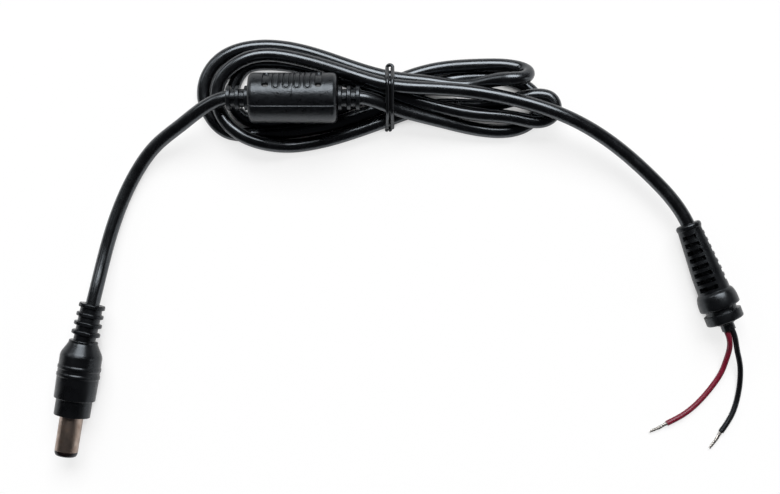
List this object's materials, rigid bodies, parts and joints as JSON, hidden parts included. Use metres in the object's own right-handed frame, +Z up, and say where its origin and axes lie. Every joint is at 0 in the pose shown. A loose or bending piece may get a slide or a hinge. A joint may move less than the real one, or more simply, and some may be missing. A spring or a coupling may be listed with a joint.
{
  "type": "dc barrel plug lead",
  "caption": "Straight DC barrel plug on a tied, coiled cord with a moulded ferrite, a slotted strain relief boot and bare red and black wire ends.",
  "frame": {"origin": "on the floor under the middle of the plug, measured over the plug's own pieces", "axes": "+Y along the plug from its barrel towards its cord, +Z up from the floor the lead lies on"},
  "size_m": [0.2203, 0.1485, 0.0208],
  "materials": {
    "nickel": "satin nickel plate",
    "dark_insulator": "smooth",
    "contact_plating": "polished plate",
    "inner_plastic": "as moulded",
    "black_moulding": "satin",
    "red_insulation": "smooth",
    "black_insulation": "smooth",
    "cord_jacket": "smooth extruded",
    "ferrite": "sintered",
    "tie_coating": "smooth",
    "tinned_copper": "tinned strands"
  },
  "bodies": {
    "root": {"barrel_sleeve": "nickel", "tip_insulator": "dark_insulator", "inner_contact": "contact_plating", "contact_insulator": "dark_insulator", "centre_pin": "contact_plating", "inner_mould": "inner_plastic", "plug_overmould": "black_moulding", "plug_red_core": "red_insulation", "plug_black_core": "black_insulation", "cord": "cord_jacket", "ferrite_core": "ferrite", "ferrite_moulding": "black_moulding", "cord_tie": "tie_coating", "strain_relief_boot": "black_moulding", "red_lead": "red_insulation", "black_lead": "black_insulation", "red_wire_end": "tinned_copper", "black_wire_end": "tinned_copper"}
  },
  "joints": []
}
